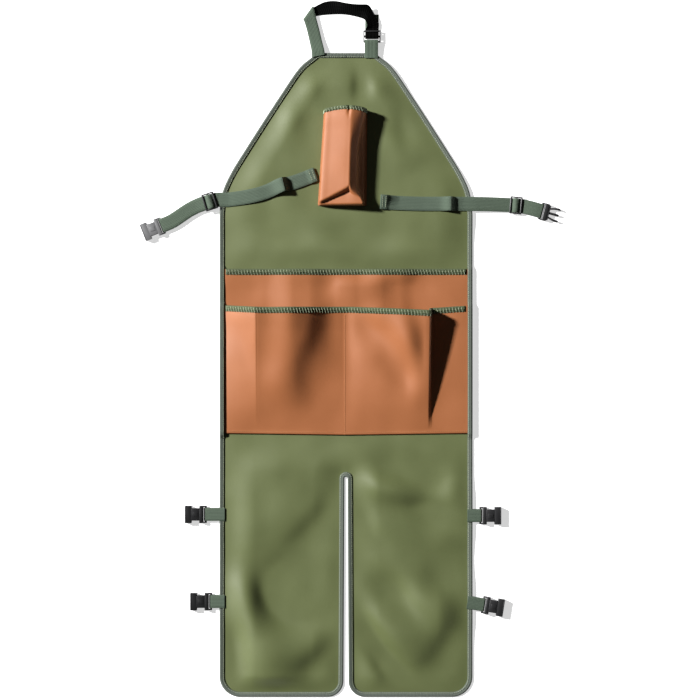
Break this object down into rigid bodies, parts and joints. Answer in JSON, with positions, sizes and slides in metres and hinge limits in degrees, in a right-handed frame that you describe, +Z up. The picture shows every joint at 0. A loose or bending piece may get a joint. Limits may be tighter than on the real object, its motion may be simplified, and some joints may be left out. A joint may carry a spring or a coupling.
{
  "type": "gardening apron",
  "caption": "Long work apron with split legs, a tilted chest pouch, pleated front pockets, neck loop, waist and leg straps with clips, lying flat.",
  "frame": {"origin": "the back of the cloth at the middle of the panel, which lies on the floor", "axes": "+X to the right across the apron as it lies, +Y up towards the neck, +Z up from the floor"},
  "size_m": [0.7157, 1.1833, 0.0375],
  "materials": {
    "canvas": "woven cloth with a light coating, soft sheen",
    "edge_tape": "ribbed grosgrain tape",
    "brown_cloth": "woven cloth with a light coating, soft sheen",
    "trim_tape": "ribbed grosgrain tape with whip stitches",
    "webbing": "ribbed woven webbing",
    "neck_webbing": "ribbed woven webbing, green face and black reverse",
    "dark_plastic": "moulded, satin",
    "grey_plastic": "moulded, satin"
  },
  "bodies": {
    "root": {"apron_panel": "canvas", "edge_binding": "edge_tape", "back_pocket": "brown_cloth", "back_pocket_trim": "trim_tape", "front_pocket": "brown_cloth", "front_pocket_trim": "trim_tape", "chest_pocket": "brown_cloth", "chest_pocket_trim": "trim_tape", "waist_strap_left": "webbing", "waist_slider_left": "dark_plastic", "waist_buckle_socket": "grey_plastic", "waist_strap_right": "webbing", "waist_slider_right": "dark_plastic", "waist_buckle_plug": "dark_plastic", "leg_strap_left_upper": "webbing", "leg_buckle_left_upper": "dark_plastic", "leg_strap_left_lower": "webbing", "leg_buckle_left_lower": "dark_plastic", "leg_strap_right_upper": "webbing", "leg_buckle_right_upper": "dark_plastic", "leg_strap_right_lower": "webbing", "leg_buckle_right_lower": "dark_plastic", "neck_strap": "neck_webbing", "neck_slider": "dark_plastic", "neck_strap_short": "neck_webbing"}
  },
  "joints": []
}
